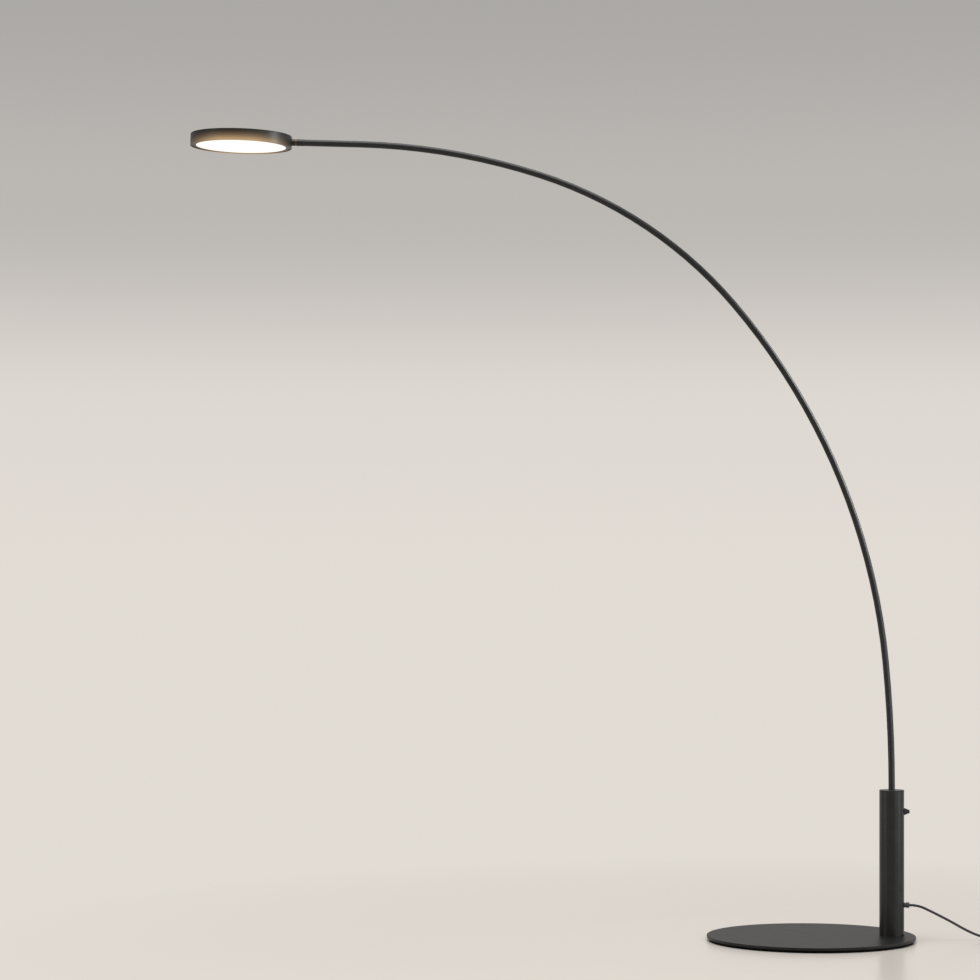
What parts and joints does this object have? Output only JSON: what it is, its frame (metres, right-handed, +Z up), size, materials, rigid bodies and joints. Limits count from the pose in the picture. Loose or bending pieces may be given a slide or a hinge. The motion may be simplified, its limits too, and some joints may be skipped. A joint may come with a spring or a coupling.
{
  "type": "arc floor lamp",
  "caption": "Arc floor lamp: slim bent tube from a side column on a round base plate, carrying a flat round lit head on a swivel, with push switch and mains cord.",
  "frame": {"origin": "middle of the base pad's underside, on the floor", "axes": "+Z up, the arc reaches over the base towards -X in the XZ plane, the cord leaves at +X"},
  "size_m": [1.9606, 0.48, 1.8582],
  "materials": {
    "powder_black": "fine-texture matt black powder coat on steel and aluminium",
    "foam_pad": "matt black foam rubber",
    "zinc_steel": "zinc-plated steel",
    "acetal": "natural white bearing plastic",
    "white_plastic": "white flame-retardant plastic",
    "black_plastic": "satin black moulded plastic",
    "black_rubber": "soft black rubber",
    "cord_black": "matt black cable jacket",
    "tie_band": "black hook-and-loop band",
    "brass": "turned brass, dulled",
    "bright_pins": "nickel-plated brass",
    "opal": "satin opal acrylic, lit from behind",
    "bare_aluminium": "bare machined aluminium",
    "board_white": "white solder mask on an aluminium board",
    "led_yellow": "phosphor-filled silicone"
  },
  "bodies": {
    "base": {"base_plate": "powder_black", "base_pad": "foam_pad", "base_bolts": "zinc_steel", "column_tube": "powder_black", "column_foot": "zinc_steel", "column_cap": "powder_black", "cap_grub_screws": "zinc_steel", "arc_socket": "zinc_steel", "upper_bush": "acetal", "lower_bush": "acetal", "thrust_washer": "zinc_steel", "brake_pad": "acetal", "brake_screw": "zinc_steel", "driver_bracket": "zinc_steel", "bracket_screw": "zinc_steel", "driver_case": "white_plastic", "driver_screws": "zinc_steel", "mains_tail": "cord_black", "switch_lead": "cord_black", "output_lead": "cord_black", "switch_body": "black_plastic", "switch_locknut": "black_plastic", "switch_bezel": "black_plastic", "gland_body": "black_plastic", "gland_locknut": "black_plastic", "gland_cap": "black_plastic", "gland_seal": "black_rubber", "power_cord": "cord_black", "cord_coil": "cord_black", "cord_tail": "cord_black", "cord_tie": "tie_band", "plug_body": "black_plastic", "plug_pins": "bright_pins"},
    "button": {"switch_button": "black_plastic"},
    "arc": {"arc_tube": "powder_black", "stop_pin": "zinc_steel", "stem_grommet": "black_rubber", "arc_cable": "cord_black", "tube_plug": "bare_aluminium", "swivel_collar": "powder_black"},
    "head": {"swivel_pin": "brass", "pin_nut": "brass", "spring_washer": "zinc_steel", "head_stub": "powder_black", "stub_nut": "zinc_steel", "head_housing": "powder_black", "head_bezel": "powder_black", "diffuser": "opal", "heat_spreader": "bare_aluminium", "led_board": "board_white", "led_chips": "led_yellow", "board_screws": "zinc_steel", "head_terminal": "white_plastic", "head_lead": "cord_black"}
  },
  "joints": [
    {"name": "arc_swivel", "type": "hinge", "parent": "base", "child": "arc", "pos_m": [0.186, 0, 0.3445], "axis": [0, 0, 1], "range_deg": [-60, 60]},
    {"name": "head_turn", "type": "hinge", "parent": "arc", "child": "head", "pos_m": [-1.16713, 0, 1.83791], "axis": [-0.9997, 0, 0.0262], "range_deg": [-90, 90]},
    {"name": "button_press", "type": "slide", "parent": "base", "child": "button", "axis": [-1, 0, 0], "range_m": [0, 0.0025], "stiffness_N_per_m": 1200}
  ]
}
